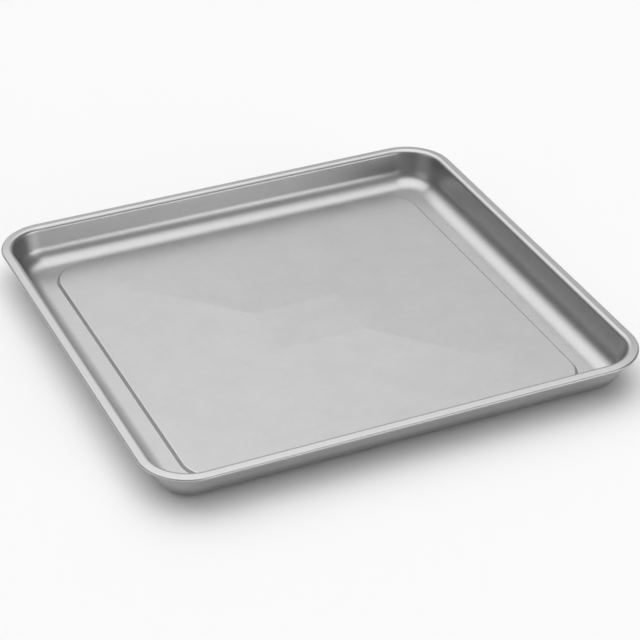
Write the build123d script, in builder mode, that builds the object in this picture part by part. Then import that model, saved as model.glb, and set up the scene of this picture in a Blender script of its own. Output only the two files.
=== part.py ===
from build123d import *
import os
from math import cos, radians, sin

# Cookie sheet: a shallow, nearly square tray pressed from one steel sheet, with a
# raised centre panel and a rim that is rolled round a steel wire.
# Millimetres. The origin is the middle of the resting plane, +X right, +Y back, +Z up.

# Overall size, measured over the rolled rim
width = 305.0
depth = 293.2
height = 22.8
rim_corner_radius = 30.1

# The pressed sheet. Bend radii are those of its upper face, angles are in degrees.
sheet = 0.4
wall_lean = 11.0
floor_bend = 12.5
shoulder_bend = 2.85
rim_width = 4.4
rim_fall_angle = 5.0
curl_turn = 275.0
gutter_lip = 0.2

# The rim wire, a ring with a butt gap at the middle of the back
wire_diameter = 1.4
wire_clearance = 0.05
wire_gap = 0.6

# The raised centre panel, whose step is placed by the middle of its slope
panel_side_inset = 30.3
panel_end_inset = 23.0
panel_corner_radius = 21.6
panel_rise = 1.9
step_slope = 50.0
step_bend = 0.8

# The rim's section, worked out from the outer edge inwards. A distance "out" is
# measured outwards from the axis that the rim's corner turns about. The rim's width
# is that from its outer edge to its crest. From the crest it falls gently outwards
# and runs on into the rolled edge.
wall_slope = 90.0 - wall_lean
curl_radius = wire_diameter / 2 + wire_clearance + sheet
curl_center_out = rim_corner_radius - curl_radius
curl_start_out = curl_center_out + curl_radius * sin(radians(rim_fall_angle))
crest_out = rim_corner_radius - rim_width
shoulder_end_out = crest_out + shoulder_bend * sin(radians(rim_fall_angle))
rim_run = curl_start_out - shoulder_end_out
rim_length = rim_run / cos(radians(rim_fall_angle))
rim_fall = shoulder_bend * (1 - cos(radians(rim_fall_angle))) + rim_length * sin(radians(rim_fall_angle))
curl_center_up = height - rim_fall - curl_radius * cos(radians(rim_fall_angle))
floor_bend_rise = floor_bend * (1 - cos(radians(wall_slope)))
shoulder_rise = shoulder_bend * (1 - cos(radians(wall_slope)))
wall_rise = height - sheet - floor_bend_rise - shoulder_rise
wall_length = wall_rise / sin(radians(wall_slope))
wall_run = wall_length * cos(radians(wall_slope))
wall_foot_out = crest_out - shoulder_bend * sin(radians(wall_slope)) - wall_run
floor_bend_out = wall_foot_out - floor_bend * sin(radians(wall_slope))
gutter_out = floor_bend_out - gutter_lip

# The axes that the rim's and the panel's corners turn about
rim_corner_x = width / 2 - rim_corner_radius
rim_corner_y = depth / 2 - rim_corner_radius
panel_corner_x = width / 2 - panel_side_inset - panel_corner_radius
panel_corner_y = depth / 2 - panel_end_inset - panel_corner_radius

# The step's section: two bends with a straight slope between them, along the middle
# of the sheet's thickness
bend_run = step_bend * sin(radians(step_slope))
bend_rise = step_bend * (1 - cos(radians(step_slope)))
slope_length = (panel_rise - 2 * bend_rise) / sin(radians(step_slope))
slope_run = slope_length * cos(radians(step_slope))
step_run = 2 * bend_run + slope_run
step_foot_out = panel_corner_radius + step_run / 2
step_top_out = panel_corner_radius - step_run / 2


def draw_rim_face(below):
    """Draw the sheet's upper face, or the face that lies below it, from gutter to curl."""
    level = sheet - below
    gutter = Line((gutter_out, level), (floor_bend_out, level))
    floor_arc = JernArc(gutter @ 1, gutter % 1, floor_bend + below, wall_slope)
    wall = Line(floor_arc @ 1, floor_arc @ 1 + (floor_arc % 1) * wall_length)
    shoulder_turn = wall_slope + rim_fall_angle
    shoulder = JernArc(wall @ 1, wall % 1, shoulder_bend - below, -shoulder_turn)
    rim = Line(shoulder @ 1, shoulder @ 1 + (shoulder % 1) * rim_length)
    curl = JernArc(rim @ 1, rim % 1, curl_radius - below, -curl_turn)
    return gutter @ 0, curl @ 1


def draw_step_face(off_middle):
    """Draw one face of the panel's step, from its foot inwards to the panel."""
    foot_level = sheet / 2 + off_middle
    foot = (step_foot_out, foot_level)
    foot_arc = JernArc(foot, (-1, 0), step_bend - off_middle, -step_slope)
    slope = Line(foot_arc @ 1, foot_arc @ 1 + (foot_arc % 1) * slope_length)
    top_arc = JernArc(slope @ 1, slope % 1, step_bend + off_middle, step_slope)
    return foot, top_arc @ 1


def carry_round(section, corner_x, corner_y):
    """Carry a section along half a side, round one corner and along half an end."""
    side_plane = Plane(origin=(corner_x, 0, 0), x_dir=(1, 0, 0), z_dir=(0, -1, 0))
    corner_plane = side_plane.offset(-corner_y)
    end_plane = Plane(origin=(corner_x, corner_y, 0), x_dir=(0, 1, 0), z_dir=(1, 0, 0))
    with BuildSketch(side_plane) as on_side:
        add(section)
    extrude(on_side.sketch, amount=-corner_y)
    with BuildSketch(corner_plane) as on_corner:
        add(section)
    corner_axis = Axis((corner_x, corner_y, 0), (0, 0, 1))
    revolve(on_corner.sketch, axis=corner_axis, revolution_arc=90)
    with BuildSketch(end_plane) as on_end:
        add(section)
    extrude(on_end.sketch, amount=-corner_x)


# Section of the gutter's edge, floor bend, wall, shoulder, rim and rolled edge
with BuildSketch() as rim_section:
    with BuildLine():
        upper_start, upper_end = draw_rim_face(0)
        under_start, under_end = draw_rim_face(sheet)
        Line(upper_start, under_start)
        Line(upper_end, under_end)
    make_face()

# Section of the step up to the centre panel
with BuildSketch() as step_section:
    with BuildLine():
        upper_foot, upper_top = draw_step_face(sheet / 2)
        under_foot, under_top = draw_step_face(-sheet / 2)
        Line(upper_foot, under_foot)
        Line(upper_top, under_top)
    make_face()

# Section of the wire, at the middle of the curl
with BuildSketch() as wire_section:
    with Locations((curl_center_out, curl_center_up)):
        Circle(wire_diameter / 2)

# The pressed pan: rim and step are made as one quarter and mirrored, then the flat
# gutter and the flat panel close the sheet
with BuildPart() as pan_body:
    carry_round(rim_section.sketch, rim_corner_x, rim_corner_y)
    carry_round(step_section.sketch, panel_corner_x, panel_corner_y)
    mirror(about=Plane.YZ)
    mirror(about=Plane.XZ)
    with BuildSketch():
        RectangleRounded(
            2 * (rim_corner_x + gutter_out), 2 * (rim_corner_y + gutter_out), gutter_out
        )
        RectangleRounded(
            2 * (panel_corner_x + step_foot_out),
            2 * (panel_corner_y + step_foot_out),
            step_foot_out,
            mode=Mode.SUBTRACT,
        )
    extrude(amount=sheet)
    with BuildSketch(Plane.XY.offset(panel_rise)):
        RectangleRounded(
            2 * (panel_corner_x + step_top_out), 2 * (panel_corner_y + step_top_out), step_top_out
        )
    extrude(amount=sheet)

# The wire inside the rolled rim
with BuildPart() as rim_wire:
    carry_round(wire_section.sketch, rim_corner_x, rim_corner_y)
    mirror(about=Plane.YZ)
    mirror(about=Plane.XZ)
    with BuildSketch(Plane.XZ.offset(-rim_corner_y)):
        with Locations((0, curl_center_up)):
            Rectangle(wire_gap, 2 * wire_diameter)
    extrude(amount=-rim_corner_radius, mode=Mode.SUBTRACT)

os.makedirs("parts", exist_ok=True)
pan_body.part.label = "pan_body"
export_step(pan_body.part, "parts/pan_body.step")
rim_wire.part.label = "rim_wire"
export_step(rim_wire.part, "parts/rim_wire.step")
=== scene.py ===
"""Cookie sheet: the pressed pan as a smooth mesh, its satin coating, and a plain studio."""

from math import cos, pi, radians, sin

import bmesh
import bpy
from mathutils import Matrix, Vector


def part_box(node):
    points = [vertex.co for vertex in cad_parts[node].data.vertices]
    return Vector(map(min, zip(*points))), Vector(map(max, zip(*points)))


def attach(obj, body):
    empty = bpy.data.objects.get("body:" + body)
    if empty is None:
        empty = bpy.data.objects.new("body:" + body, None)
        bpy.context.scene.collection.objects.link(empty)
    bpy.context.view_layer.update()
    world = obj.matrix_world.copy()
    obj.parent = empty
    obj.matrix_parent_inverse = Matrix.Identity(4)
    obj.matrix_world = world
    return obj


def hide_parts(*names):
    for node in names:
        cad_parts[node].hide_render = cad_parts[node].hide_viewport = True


bl_info = {
    "name": "Cookie sheet",
    "version": (1, 0, 0),
    "blender": (4, 5, 0),
    "location": "3D View > Sidebar > Cookie sheet",
    "description": "Models a pressed baking tray with a rolled rim and lights it in a plain studio",
    "category": "Add Mesh",
}

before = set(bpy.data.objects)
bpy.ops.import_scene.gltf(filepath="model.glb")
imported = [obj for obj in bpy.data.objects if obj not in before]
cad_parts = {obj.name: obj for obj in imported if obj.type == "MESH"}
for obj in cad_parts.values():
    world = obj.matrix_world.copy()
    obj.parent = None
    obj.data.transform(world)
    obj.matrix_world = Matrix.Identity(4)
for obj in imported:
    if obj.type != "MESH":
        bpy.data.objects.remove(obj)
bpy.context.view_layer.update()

MM = 0.001
PAN_LOW, PAN_HIGH = (Vector(corner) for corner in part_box("pan_body"))

# How finely the bends are divided
CORNER_STEPS = 36
FLOOR_BEND_STEPS = 30
SHOULDER_STEPS = 16
CURL_STEPS = 28
STEP_BEND_STEPS = 8
CROWN_RINGS = 12

# Edges of the crown that turn by more than this stay sharp
CREASE = radians(0.2)

# Points closer than this lie at the same height or on the same cut
SAME_LEVEL = 1e-6
ON_CUT = 1e-7

# The value that Blender's noise swings about
NOISE_MIDDLE = 0.5

FLOOR_HALF_WIDTH = 6
FRAME_WIDTH_MM = 36


# Small tools


class SectionPen:
    """Draws a sheet-metal section as a chain of runs and bends in the XZ plane."""

    def __init__(self, mesh, start, heading=0.0):
        self.mesh = mesh
        self.tip = mesh.verts.new(start)
        self.heading = heading

    def run(self, *lengths):
        """Go straight ahead, with a vertex after each length."""
        ahead = Vector((cos(self.heading), 0, sin(self.heading)))
        for length in lengths:
            grown = bmesh.ops.extrude_vert_indiv(self.mesh, verts=[self.tip])
            self.tip = grown["verts"][0]
            self.tip.co += ahead * length

    def bend(self, radius, turn, steps):
        """Turn left by a positive angle or right by a negative one, on an arc."""
        side = 1 if turn > 0 else -1
        to_centre = Vector((-sin(self.heading), 0, cos(self.heading))) * side * radius
        arc = bmesh.ops.spin(
            self.mesh, geom=[self.tip], cent=self.tip.co + to_centre,
            axis=(0, -1, 0), angle=turn, steps=steps,
        )
        self.tip = arc["geom_last"][0]
        self.heading += turn


def only(kind, geometry):
    """The elements of one kind in a list of mixed ones."""
    return [element for element in geometry if isinstance(element, kind)]


def once(elements):
    """Each element once, in the order of its first use, so that every run is alike."""
    return list(dict.fromkeys(elements))


def carry_round(mesh, section, corner, hold):
    """Carry a section's edges round one corner and along half of the two sides it joins.

    A narrow face of the hold's width comes first on each side, beside the corner.
    """
    turned = bmesh.ops.spin(
        mesh, geom=section + once(v for e in section for v in e.verts),
        cent=(corner.x, corner.y, 0), axis=(0, 0, 1), angle=pi / 2, steps=CORNER_STEPS,
    )
    to_side, to_end = Vector((0, -1, 0)), Vector((-1, 0, 0))
    turned_section = only(bmesh.types.BMEdge, turned["geom_last"])
    for edges, along, length in (
        (section, to_side, corner.y),
        (turned_section, to_end, corner.x),
    ):
        for part in (hold, length - hold):
            grown = bmesh.ops.extrude_edge_only(mesh, edges=edges)["geom"]
            bmesh.ops.translate(mesh, vec=along * part, verts=only(bmesh.types.BMVert, grown))
            edges = only(bmesh.types.BMEdge, grown)


def open_edges(mesh, level):
    """The boundary edges that lie at one height."""
    return [
        e for e in mesh.edges
        if e.is_boundary and all(abs(v.co.z - level) < SAME_LEVEL for v in e.verts)
    ]


def cut_faces(mesh, faces, point, normal):
    """Cut faces along an upright plane, and give the faces that come of it."""
    verts = once(v for face in faces for v in face.verts)
    edges = once(e for face in faces for e in face.edges)
    cut = bmesh.ops.bisect_plane(
        mesh, geom=verts + edges + faces, dist=ON_CUT,
        plane_co=point, plane_no=normal,
    )
    return only(bmesh.types.BMFace, cut["geom"])


def add_object(context, name, mesh):
    """Turn a finished bmesh into an object of the scene."""
    data = bpy.data.meshes.new(name)
    mesh.to_mesh(data)
    mesh.free()
    made = bpy.data.objects.new(name, data)
    context.collection.objects.link(made)
    return made


class Socket:
    """A shader value that adds its Math nodes as it is used in an expression."""

    def __init__(self, tree, output):
        self.tree = tree
        self.output = output

    def __add__(self, other):
        return self.tree.math("ADD", self, other)

    def __radd__(self, other):
        return self.tree.math("ADD", other, self)

    def __sub__(self, other):
        return self.tree.math("SUBTRACT", self, other)

    def __rsub__(self, other):
        return self.tree.math("SUBTRACT", other, self)

    def __mul__(self, other):
        return self.tree.math("MULTIPLY", self, other)

    def __rmul__(self, other):
        return self.tree.math("MULTIPLY", other, self)

    def smooth(self, start, end):
        """0 at the start value, 1 at the end value, and a smooth change between them."""
        return self.tree.node(
            "ShaderNodeMapRange", {"interpolation_type": "SMOOTHSTEP"},
            {"Value": self, "From Min": start, "From Max": end}, "Result",
        )


class Tree:
    """A node tree that is filled from Python expressions."""

    def __init__(self, owner):
        owner.use_nodes = True
        self.nodes = owner.node_tree.nodes
        self.links = owner.node_tree.links
        self.nodes.clear()

    def node(self, kind, settings=None, values=None, output=0):
        """Add any node: first its settings, then the values or links of its sockets."""
        made = self.nodes.new(kind)
        for name, setting in (settings or {}).items():
            setattr(made, name, setting)
        for name, value in (values or {}).items():
            if isinstance(value, Socket):
                self.links.new(value.output, made.inputs[name])
            else:
                made.inputs[name].default_value = value
        return Socket(self, made.outputs[output]) if made.outputs else None

    def math(self, operation, *values):
        return self.node("ShaderNodeMath", {"operation": operation}, dict(enumerate(values)))

    def mix(self, share, low, high):
        """Blend two colours."""
        return self.node(
            "ShaderNodeMix", {"data_type": "RGBA"}, {"Factor": share, 6: low, 7: high}, 2
        )

    def noise(self, place, scale, detail):
        return self.node(
            "ShaderNodeTexNoise", {}, {"Vector": place, "Scale": scale, "Detail": detail}
        )


# Sizes and finishes that a user would change


def length_property(name, description, default):
    return bpy.props.FloatProperty(
        name=name, description=description, default=default,
        unit="LENGTH", subtype="DISTANCE", precision=4,
    )


def angle_property(name, description, degrees):
    return bpy.props.FloatProperty(
        name=name, description=description, default=radians(degrees),
        unit="ROTATION", subtype="ANGLE",
    )


class PanSizes(bpy.types.PropertyGroup):
    """Sizes of the pressed sheet. Bend radii are those of its upper face."""

    sheet: length_property("Sheet", "Thickness of the steel sheet", 0.4 * MM)
    rim_corner: length_property(
        "Rim corner", "Radius of the rim's corners at its outer edge", 30.1 * MM
    )
    wall_lean: angle_property("Wall lean", "How far the walls lean out from upright", 11)
    floor_bend: length_property("Floor bend", "Radius between gutter and wall", 12.5 * MM)
    shoulder_bend: length_property("Shoulder bend", "Radius between wall and rim", 2.85 * MM)
    rim_width: length_property("Rim width", "From the rim's outer edge to its crest", 4.4 * MM)
    rim_fall: angle_property("Rim fall", "How far the rim slopes down to its rolled edge", 5)
    curl: length_property("Curl", "Outer radius of the rolled edge", 1.15 * MM)
    curl_turn: angle_property("Curl turn", "How far the edge is rolled round", 275)
    panel_side_inset: length_property(
        "Panel side inset", "From the left or right rim to the panel's step", 30.3 * MM
    )
    panel_end_inset: length_property(
        "Panel end inset", "From the front or back rim to the panel's step", 23.0 * MM
    )
    panel_corner: length_property("Panel corner", "Radius of the panel's corners", 21.6 * MM)
    panel_rise: length_property(
        "Panel rise", "Height of the centre panel's edge above the gutter", 1.9 * MM
    )
    step_slope: angle_property("Step slope", "Slope of the step up to the panel", 50)
    step_bend: length_property(
        "Step bend", "Radius of both bends of the step, in mid-sheet", 0.8 * MM
    )
    crown_rise: length_property(
        "Crown rise", "How far the panel's middle stands above its edge", 0.9 * MM
    )
    crown_width: length_property(
        "Crown width", "Side to side size of the flat in the panel's middle", 54 * MM
    )
    crown_depth: length_property(
        "Crown depth", "Front to back size of the flat in the panel's middle", 42 * MM
    )
    hold: length_property(
        "Hold", "Width of the narrow faces that keep flat areas flat beside a bend", 0.1 * MM
    )


class Finish(bpy.types.PropertyGroup):
    """The satin coating."""

    coating: bpy.props.FloatVectorProperty(
        name="Coating", description="Colour of the silver-grey coating", subtype="COLOR",
        size=3, min=0, max=1, default=(0.475, 0.475, 0.475),
    )
    roughness: bpy.props.FloatProperty(
        name="Roughness", description="How much the coating blurs reflections",
        default=0.33, min=0, max=1, subtype="FACTOR",
    )


class Studio(bpy.types.PropertyGroup):
    """Where the camera stands and how bright the surroundings are."""

    azimuth: angle_property(
        "Azimuth", "How far the camera stands round from the front, to the left if negative",
        -24.298,
    )
    elevation: angle_property("Elevation", "How far the camera looks down", 32.312)
    distance: length_property("Distance", "From the camera to the middle of the view", 1.3512)
    aside: length_property(
        "Aside", "How far the view's middle lies right of the tray's middle", 6.46 * MM
    )
    above: length_property(
        "Above", "How far the view's middle lies above the top of the rolled edge",
        -15.801 * MM,
    )
    lens: bpy.props.FloatProperty(
        name="Lens", description="Focal length for a frame 36 mm wide",
        default=127.78, unit="CAMERA",
    )
    brightness: bpy.props.FloatProperty(
        name="Brightness", description="Strength of all the light round the tray",
        default=1.06, min=0,
    )


# The pan


def draw_rim_section(mesh, sizes, corner):
    """Gutter's edge, floor bend, wall, shoulder, rim and rolled edge, drawn outwards."""
    wall_slope = pi / 2 - sizes.wall_lean
    crest_out = sizes.rim_corner - sizes.rim_width
    rim_start_out = crest_out + sizes.shoulder_bend * sin(sizes.rim_fall)
    curl_start_out = sizes.rim_corner - sizes.curl * (1 - sin(sizes.rim_fall))
    rim_length = (curl_start_out - rim_start_out) / cos(sizes.rim_fall)
    bends_rise = (sizes.floor_bend + sizes.shoulder_bend) * (1 - cos(wall_slope))
    bends_run = (sizes.floor_bend + sizes.shoulder_bend) * sin(wall_slope)
    wall_length = (PAN_HIGH.z - sizes.sheet - bends_rise) / sin(wall_slope)
    floor_bend_out = crest_out - bends_run - wall_length * cos(wall_slope)
    gutter_lip = 2 * sizes.hold
    start = (corner.x + floor_bend_out - gutter_lip, corner.y, sizes.sheet)
    pen = SectionPen(mesh, start)
    pen.run(gutter_lip - sizes.hold, sizes.hold)
    pen.bend(sizes.floor_bend, wall_slope, FLOOR_BEND_STEPS)
    pen.run(sizes.hold, wall_length - 2 * sizes.hold, sizes.hold)
    pen.bend(sizes.shoulder_bend, -wall_slope - sizes.rim_fall, SHOULDER_STEPS)
    pen.run(sizes.hold, rim_length - 2 * sizes.hold, sizes.hold)
    pen.bend(sizes.curl, -sizes.curl_turn, CURL_STEPS)


def draw_step_section(mesh, sizes, corner):
    """The step from the gutter up to the centre panel, drawn inwards."""
    foot_bend = sizes.step_bend - sizes.sheet / 2
    top_bend = sizes.step_bend + sizes.sheet / 2
    bend_rise = 2 * sizes.step_bend * (1 - cos(sizes.step_slope))
    bend_run = 2 * sizes.step_bend * sin(sizes.step_slope)
    slope_length = (sizes.panel_rise - bend_rise) / sin(sizes.step_slope)
    step_run = bend_run + slope_length * cos(sizes.step_slope)
    foot_out = sizes.panel_corner + step_run / 2
    start = (corner.x + foot_out + sizes.hold, corner.y, sizes.sheet)
    pen = SectionPen(mesh, start, heading=pi)
    pen.run(sizes.hold)
    pen.bend(foot_bend, -sizes.step_slope, STEP_BEND_STEPS)
    pen.run(slope_length)
    pen.bend(top_bend, sizes.step_slope, STEP_BEND_STEPS)
    pen.run(sizes.hold)


def cut_crown(mesh, panel, flat, foot):
    """Cut the panel where its crown bends: on rings from the middle's flat out to the
    step, and from each corner of that flat towards the panel's own corner."""
    faces = [panel]
    for ring in range(CROWN_RINGS):
        line = flat.lerp(foot, ring / CROWN_RINGS)
        for side in (1, -1):
            faces = cut_faces(mesh, faces, (side * line.x, 0, 0), (1, 0, 0))
            faces = cut_faces(mesh, faces, (0, side * line.y, 0), (0, 1, 0))
    run = foot - flat
    for side in (1, -1):
        for end in (1, -1):
            corner, others = [], []
            for face in faces:
                middle = face.calc_center_median()
                past_flat = middle.x * side > flat.x and middle.y * end > flat.y
                (corner if past_flat else others).append(face)
            across_crease = (end * run.y, -side * run.x, 0)
            flat_corner = (side * flat.x, end * flat.y, 0)
            faces = others + cut_faces(mesh, corner, flat_corner, across_crease)
    return faces


def crown_panel(mesh, panel, sizes):
    """Raise the flat panel into four facets, which climb from its corners and sides to a
    small flat in its middle and are steepest beside that flat."""
    flat = Vector((sizes.crown_width / 2, sizes.crown_depth / 2, 0))
    foot = Vector((
        PAN_HIGH.x - sizes.panel_side_inset, PAN_HIGH.y - sizes.panel_end_inset, 0
    ))
    run = foot - flat
    faces = cut_crown(mesh, panel, flat, foot)
    inside = set(faces)
    for vert in once(v for face in faces for v in face.verts):
        if inside.issuperset(vert.link_faces):
            x_down = (abs(vert.co.x) - flat.x) / run.x
            y_down = (abs(vert.co.y) - flat.y) / run.y
            vert.co.z += sizes.crown_rise * (1 - max(0, x_down, y_down)) ** 2
    mesh.normal_update()
    for edge in once(e for face in faces for e in face.edges):
        on_panel = inside.issuperset(edge.link_faces)
        edge.smooth = not (on_panel and edge.calc_face_angle() > CREASE)


def make_sheet(sizes):
    """The upper face of the pressed sheet, as one open surface."""
    mesh = bmesh.new()
    merge = sizes.hold / 100
    rim_corner = Vector((PAN_HIGH.x - sizes.rim_corner, PAN_HIGH.y - sizes.rim_corner))
    panel_corner = Vector((
        PAN_HIGH.x - sizes.panel_side_inset - sizes.panel_corner,
        PAN_HIGH.y - sizes.panel_end_inset - sizes.panel_corner,
    ))
    for draw, corner in ((draw_rim_section, rim_corner), (draw_step_section, panel_corner)):
        drawn = set(mesh.edges)
        draw(mesh, sizes, corner)
        section = [e for e in mesh.edges if e not in drawn]
        carry_round(mesh, section, corner, sizes.hold)
    bmesh.ops.remove_doubles(mesh, verts=mesh.verts, dist=merge)
    for axis in "XY":
        bmesh.ops.mirror(
            mesh, geom=mesh.verts[:] + mesh.edges[:] + mesh.faces[:],
            axis=axis, merge_dist=merge,
        )
    bmesh.ops.bridge_loops(mesh, edges=open_edges(mesh, sizes.sheet))
    panel_edges = open_edges(mesh, sizes.sheet + sizes.panel_rise)
    bmesh.ops.contextual_create(mesh, geom=panel_edges)
    bmesh.ops.recalc_face_normals(mesh, faces=mesh.faces)
    panel = max(mesh.faces, key=lambda face: face.calc_area())
    if panel.normal.z < 0:
        bmesh.ops.reverse_faces(mesh, faces=mesh.faces)
    crown_panel(mesh, panel, sizes)
    return mesh


class MESH_OT_pan_body(bpy.types.Operator):
    """Model the pressed pan in place of its plain solid"""

    bl_idname = "mesh.pan_body"
    bl_label = "Pan body"

    def execute(self, context):
        sizes = context.scene.pan_sizes
        pan = add_object(context, "pan", make_sheet(sizes))
        for polygon in pan.data.polygons:
            polygon.use_smooth = True
        thicken = pan.modifiers.new("Sheet thickness", "SOLIDIFY")
        thicken.thickness = sizes.sheet
        thicken.offset = -1
        thicken.use_even_offset = True
        pan.data.materials.append(coated_steel(context.scene.pan_finish))
        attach(pan, "root")
        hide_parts("pan_body")
        return {"FINISHED"}


class MESH_OT_rim_wire(bpy.types.Operator):
    """Give the wire inside the rolled rim its drawn steel finish"""

    bl_idname = "mesh.rim_wire"
    bl_label = "Rim wire"

    def execute(self, context):
        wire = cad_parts["rim_wire"]
        wire.data.materials.clear()
        wire.data.materials.append(drawn_wire())
        return {"FINISHED"}


# Finishes


def coated_steel(finish):
    """Satin silver coating: fine grain, soft mottling and slow clouds in its tone, slightly
    uneven gloss, and a very low grainy bump."""
    material = bpy.data.materials.new("satin_coating")
    tree = Tree(material)
    place = tree.node("ShaderNodeTexCoord", output="Object")
    grain = tree.noise(place, scale=2600, detail=2)
    mottle = tree.noise(place, scale=220, detail=2)
    cloud = tree.noise(place, scale=45, detail=3)
    tone_swing, gloss_swing = 0.06, 0.06
    low = tuple((1 - tone_swing) * part for part in finish.coating) + (1,)
    high = tuple(min(1.0, (1 + tone_swing) * part) for part in finish.coating) + (1,)
    grain_part, mottle_part, cloud_part = 0.4, 0.64, 0.96
    unevenness = (
        (grain - NOISE_MIDDLE) * grain_part
        + (mottle - NOISE_MIDDLE) * mottle_part
        + (cloud - NOISE_MIDDLE) * cloud_part
    )
    colour = tree.mix(unevenness + 0.5, low, high)
    rough = finish.roughness + (cloud - NOISE_MIDDLE) * gloss_swing
    bump_height = 0.01 * MM
    bump = tree.node(
        "ShaderNodeBump", {},
        {"Strength": 1.0, "Distance": bump_height, "Height": grain}, "Normal",
    )
    shader = tree.node(
        "ShaderNodeBsdfPrincipled", {},
        {"Base Color": colour, "Metallic": 1.0, "Roughness": rough, "Normal": bump},
    )
    tree.node("ShaderNodeOutputMaterial", {}, {"Surface": shader})
    return material


def drawn_wire():
    """Plain drawn steel."""
    material = bpy.data.materials.new("drawn_wire")
    tree = Tree(material)
    place = tree.node("ShaderNodeTexCoord", output="Object")
    streak = tree.noise(place, scale=900, detail=3)
    dull, bright = (0.45, 0.45, 0.46, 1), (0.6, 0.6, 0.61, 1)
    colour = tree.mix(streak, dull, bright)
    least_rough, rough_swing = 0.3, 0.1
    rough = least_rough + streak * rough_swing
    shader = tree.node(
        "ShaderNodeBsdfPrincipled", {},
        {"Base Color": colour, "Metallic": 1.0, "Roughness": rough},
    )
    tree.node("ShaderNodeOutputMaterial", {}, {"Surface": shader})
    return material


# The studio


def make_floor(context):
    """A wide pale floor that looks white to the camera and keeps the tray's shadow."""
    mesh = bmesh.new()
    bmesh.ops.create_grid(mesh, x_segments=1, y_segments=1, size=FLOOR_HALF_WIDTH)
    floor = add_object(context, "floor", mesh)
    material = bpy.data.materials.new("pale_floor")
    tree = Tree(material)
    pale = (0.95, 0.95, 0.95, 1)
    shader = tree.node("ShaderNodeBsdfDiffuse", {}, {"Color": pale})
    tree.node("ShaderNodeOutputMaterial", {}, {"Surface": shader})
    floor.data.materials.append(material)


def make_world(context, studio):
    """Soft surroundings: grey walls with paler areas and one bright strip low down, under a
    bright ceiling that comes down lower on the far side of the tray than on the near side.

    A direction is given in degrees: the turn from the way the camera looks, to the right,
    and the rise above the floor. All of it is fixed in space.
    """
    world = bpy.data.worlds.new("studio")
    context.scene.world = world
    tree = Tree(world)
    ray = tree.node("ShaderNodeTexCoord", output="Generated")

    def toward(turn, rise):
        """1 for a ray in this direction, 0 for one square to it."""
        aim = Matrix.Rotation(radians(rise), 3, "X") @ Vector((0, 1, 0))
        aim.rotate(Matrix.Rotation(studio.azimuth - radians(turn), 3, "Z"))
        return tree.node(
            "ShaderNodeVectorMath", {"operation": "DOT_PRODUCT"}, {0: ray, 1: aim}, "Value"
        )

    def patch(turn, rise, edge, core):
        """1 near this direction, out to the core's angle, and 0 beyond the edge's angle."""
        return toward(turn, rise).smooth(cos(radians(edge)), cos(radians(core)))

    up = toward(0, 90)
    away = toward(0, 0)
    right = toward(90, 0)
    far = away.smooth(-0.1, 0.6)
    near = away.smooth(0.1, -0.6)

    grey = 0.2
    far_wall = 0.38 * patch(turn=6, rise=12, edge=42, core=12)
    left_card = 0.36 * patch(turn=-120, rise=14, edge=32, core=6)
    far_left_card = 0.22 * patch(turn=-55, rise=36, edge=27, core=6)
    near_right_card = 0.15 * patch(turn=125, rise=28, edge=30, core=10)
    low_down = 1 - up.smooth(0.02, 0.45)
    strip = 2.9 * patch(turn=126, rise=0, edge=30, core=15) * low_down
    walls = grey + far_wall + left_card + near_right_card + far_left_card + strip

    # The ceiling's edge lies higher on the right, and a notch is cut into it there
    tilt = 0.05 * right + 0.24 * right * patch(turn=0, rise=32, edge=45, core=15)
    notch = 0.2 * patch(turn=78, rise=38, edge=38, core=16)
    ceiling_start = 0.61 - 0.28 * far + 0.1 * near
    ceiling_end = 0.78 - 0.03 * far + 0.08 * near
    ceiling = (up - tilt - notch).smooth(ceiling_start, ceiling_end)
    ceiling_level = 1.6
    level = studio.brightness * (walls + (ceiling_level - walls) * ceiling)
    white = (1, 1, 1, 1)
    shader = tree.node("ShaderNodeBackground", {}, {"Color": white, "Strength": level})
    tree.node("ShaderNodeOutputWorld", {}, {"Surface": shader})


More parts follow.
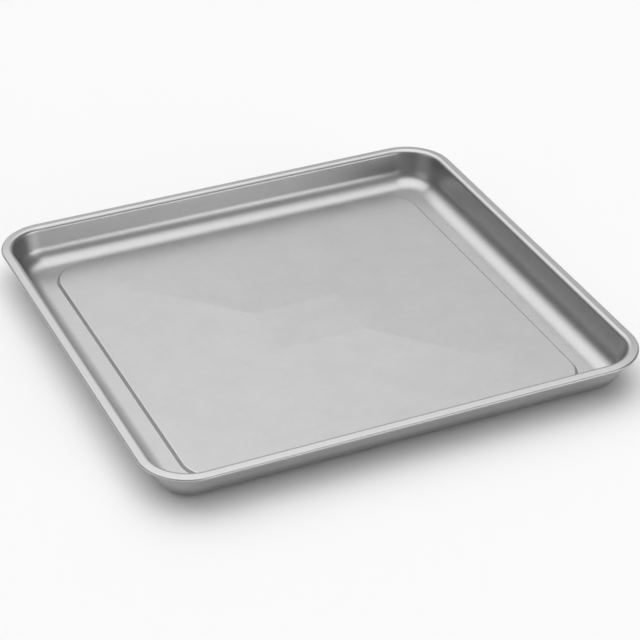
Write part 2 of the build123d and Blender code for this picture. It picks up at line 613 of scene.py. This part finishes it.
def make_camera(context, studio):
    """A camera that looks at a point a little right of and below the tray's middle."""
    round_tray = Matrix.Rotation(studio.azimuth, 4, "Z")
    turn = round_tray @ Matrix.Rotation(pi / 2 - studio.elevation, 4, "X")
    data = bpy.data.cameras.new("camera")
    data.lens = studio.lens
    data.sensor_width = FRAME_WIDTH_MM
    camera = bpy.data.objects.new("camera", data)
    context.collection.objects.link(camera)
    offset = turn @ Vector((studio.aside, studio.above, studio.distance))
    wire_low, wire_high = (Vector(corner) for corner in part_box("rim_wire"))
    roll_top = (wire_low.z + wire_high.z) / 2 + context.scene.pan_sizes.curl
    camera.matrix_world = Matrix.Translation(offset + Vector((0, 0, roll_top))) @ turn
    context.scene.camera = camera


class SCENE_OT_studio(bpy.types.Operator):
    """Set the floor, the light and the camera"""

    bl_idname = "scene.studio"
    bl_label = "Studio"

    def execute(self, context):
        context.scene.view_settings.view_transform = "Standard"
        make_floor(context)
        make_world(context, context.scene.pan_studio)
        make_camera(context, context.scene.pan_studio)
        return {"FINISHED"}


class VIEW3D_PT_cookie_sheet(bpy.types.Panel):
    """Lists the pieces, the studio and their values"""

    bl_label = "Cookie sheet"
    bl_space_type = "VIEW_3D"
    bl_region_type = "UI"
    bl_category = "Cookie sheet"

    def draw(self, context):
        scene = context.scene
        for operator in PIECES + (SCENE_OT_studio,):
            self.layout.operator(operator.bl_idname)
        for group in (scene.pan_sizes, scene.pan_finish, scene.pan_studio):
            box = self.layout.box()
            for name in group.__annotations__:
                box.prop(group, name)


PIECES = (MESH_OT_pan_body, MESH_OT_rim_wire)
GROUPS = {"pan_sizes": PanSizes, "pan_finish": Finish, "pan_studio": Studio}
CLASSES = tuple(GROUPS.values()) + PIECES + (SCENE_OT_studio, VIEW3D_PT_cookie_sheet)


def register():
    for cls in CLASSES:
        bpy.utils.register_class(cls)
    for name, group in GROUPS.items():
        setattr(bpy.types.Scene, name, bpy.props.PointerProperty(type=group))


def unregister():
    for name in GROUPS:
        delattr(bpy.types.Scene, name)
    for cls in reversed(CLASSES):
        bpy.utils.unregister_class(cls)


def main():
    register()
    bpy.ops.mesh.pan_body()
    bpy.ops.mesh.rim_wire()
    bpy.ops.scene.studio()


if __name__ == "__main__":
    main()
